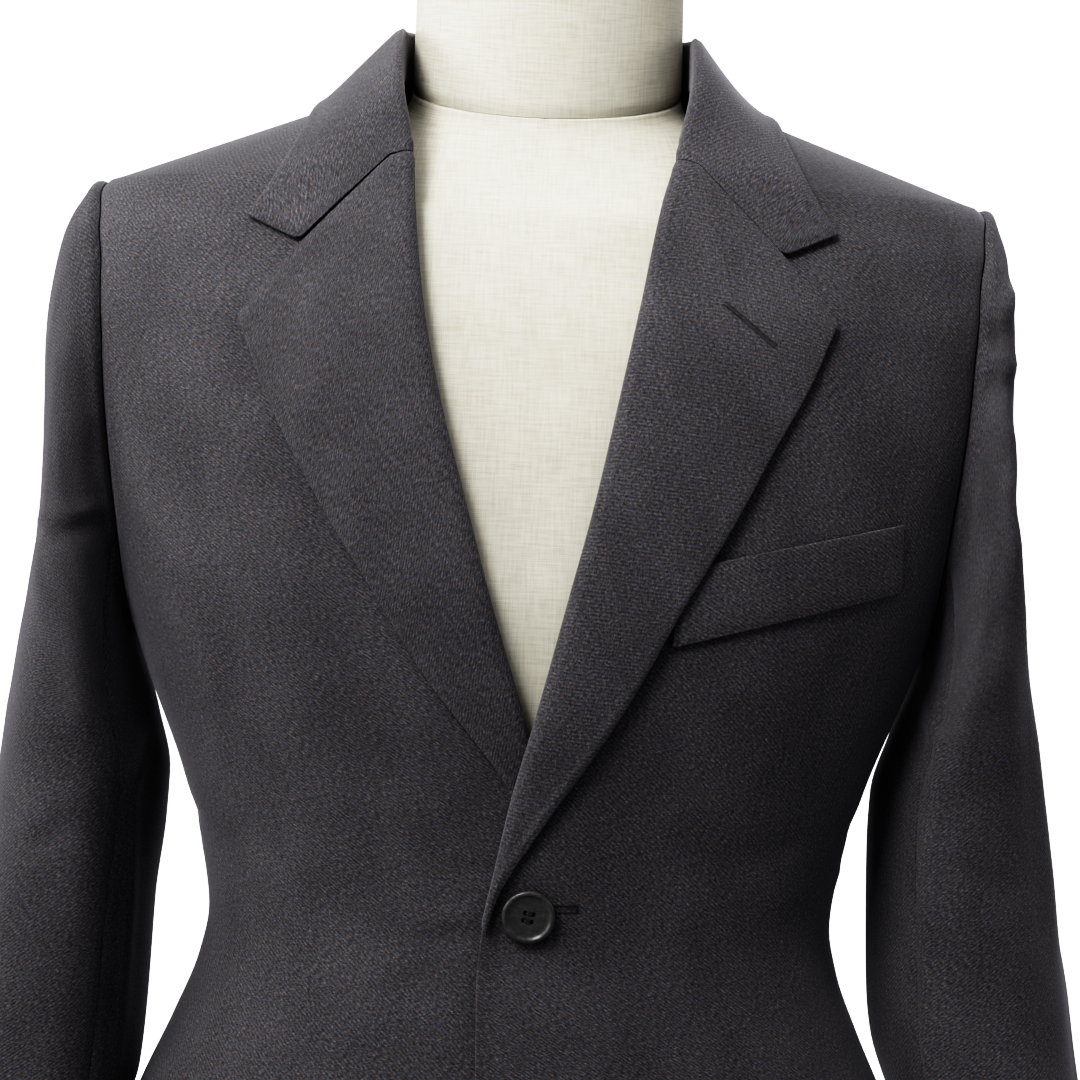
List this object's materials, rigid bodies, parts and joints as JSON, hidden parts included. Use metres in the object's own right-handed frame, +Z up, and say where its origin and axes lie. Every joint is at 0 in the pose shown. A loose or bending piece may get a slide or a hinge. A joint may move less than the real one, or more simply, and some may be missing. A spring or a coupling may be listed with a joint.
{
  "type": "chesterfield coat on a dress form",
  "caption": "Single-breasted wool coat with notch lapels, set-in sleeves and a chest welt, worn by a limbless linen dress form on a round base.",
  "frame": {"origin": "centre of the stand's base on the floor, under the middle of the whole object's box", "axes": "+Z up, -Y towards the coat's front, +X towards the wearer's left"},
  "size_m": [0.626, 0.38, 1.532],
  "materials": {
    "wool_twill": "milled wool twill, dark charcoal brown melange, matte with a faint nap",
    "dark_horn": "dark horn, turned, soft polish",
    "linen": "undyed slubby linen, plain weave, matte",
    "stand_metal": "black powder coat, satin"
  },
  "bodies": {
    "root": {"front_left": "wool_twill", "front_right": "wool_twill", "back_left": "wool_twill", "back_right": "wool_twill", "lapel_left": "wool_twill", "lapel_right": "wool_twill", "collar": "wool_twill", "sleeve_left_upper": "wool_twill", "sleeve_left_under": "wool_twill", "sleeve_right_upper": "wool_twill", "sleeve_right_under": "wool_twill", "breast_welt": "wool_twill", "hip_flap_left": "wool_twill", "hip_flap_right": "wool_twill", "button_1": "dark_horn", "button_2": "dark_horn", "button_3": "dark_horn", "form_torso": "linen", "form_neck": "linen", "form_pole": "stand_metal", "form_base": "stand_metal"}
  },
  "joints": []
}
